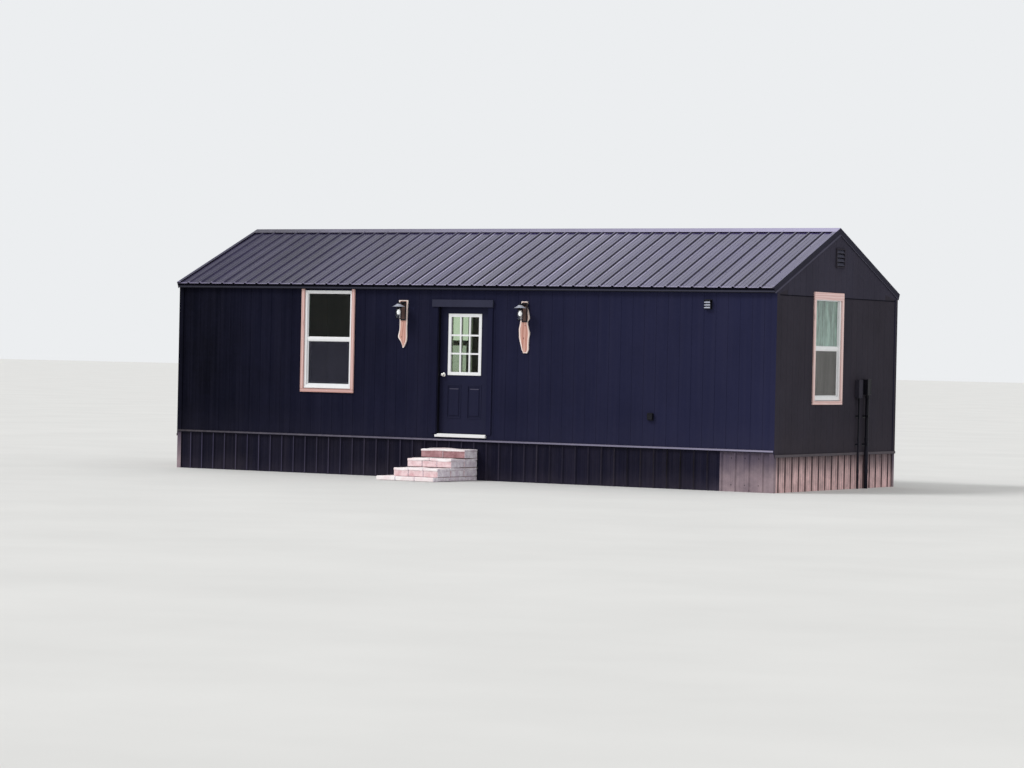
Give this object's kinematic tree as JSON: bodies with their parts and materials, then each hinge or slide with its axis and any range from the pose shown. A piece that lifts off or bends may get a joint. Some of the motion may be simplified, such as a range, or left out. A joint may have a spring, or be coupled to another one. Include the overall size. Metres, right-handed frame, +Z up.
{
  "type": "tiny house",
  "caption": "Long single-storey gabled cabin with ribbed metal roof and skirt, grooved dark siding, wood-trimmed windows, a glazed entrance door that opens and paver steps",
  "frame": {"origin": "on the lowest ground, at the middle of the cabin's length and width, under the middle pier", "axes": "+X along the cabin, towards the gable end with the service boxes; +Y from the entrance front to the back; +Z up"},
  "size_m": [11.095, 5.6632, 4.0265],
  "materials": {
    "concrete_block": "rough grey concrete block",
    "rough_timber": "sawn framing timber and sheathing, unpainted",
    "dark_siding": "satin dark blue-black paint on grooved panels and trim boards",
    "folded_metal": "satin dark painted folded sheet",
    "roof_metal": "satin dark slate painted ribbed sheet, dusty",
    "skirt_metal": "satin dark painted ribbed sheet with dust from the ground",
    "white_vinyl": "smooth white vinyl",
    "window_pane": "clear insulating glass",
    "screen_mesh": "fine dark insect mesh in a thin frame",
    "cedar_boards": "oiled cedar with warm red grain",
    "door_paint": "satin dark paint on a smooth door, frame and casing",
    "satin_nickel": "satin nickel",
    "live_edge_wood": "clear-coated slab with pale sapwood edges and knots",
    "black_metal": "matt black powder coat",
    "black_plastic": "black conduit, slightly dusty",
    "paver": "washed concrete pavers, pink-grey with fine speckle"
  },
  "bodies": {
    "house": {"piers": "concrete_block", "floor": "rough_timber", "front_wall_left": "rough_timber", "front_wall_right": "rough_timber", "front_wall_over_door": "rough_timber", "back_wall": "rough_timber", "end_walls": "rough_timber", "front_siding": "dark_siding", "back_siding": "dark_siding", "end_siding": "dark_siding", "wall_flashings": "folded_metal", "corner_trims": "dark_siding", "front_roof_deck": "rough_timber", "back_roof_deck": "rough_timber", "roof_sheets": "roof_metal", "ridge_cap": "roof_metal", "roof_edge_boards": "dark_siding", "rake_trims": "roof_metal", "front_skirt": "skirt_metal", "back_skirt": "skirt_metal", "end_skirts": "skirt_metal", "window_frames": "white_vinyl", "lower_sashes": "white_vinyl", "window_glass": "window_pane", "window_screens": "screen_mesh", "window_boards": "cedar_boards", "gable_louvres": "dark_siding", "door_frame": "door_paint", "door_sill": "white_vinyl", "door_casing": "door_paint", "jamb_hinges": "satin_nickel", "light_boards": "live_edge_wood", "lanterns": "black_metal", "lantern_glass": "window_pane", "wall_fittings": "black_metal", "conduits": "black_plastic", "step_base": "paver", "lower_step": "paver", "middle_step": "paver", "top_step": "paver"},
    "door": {"door_slab": "door_paint", "door_lite_frame": "white_vinyl", "door_glass": "window_pane", "door_knobs": "satin_nickel", "door_hinges": "satin_nickel"}
  },
  "joints": [
    {"name": "door_hinge", "type": "hinge", "parent": "house", "child": "door", "pos_m": [0.4785, -2.01, 1.721], "axis": [0, 0, -1], "range_deg": [0, 100]}
  ]
}
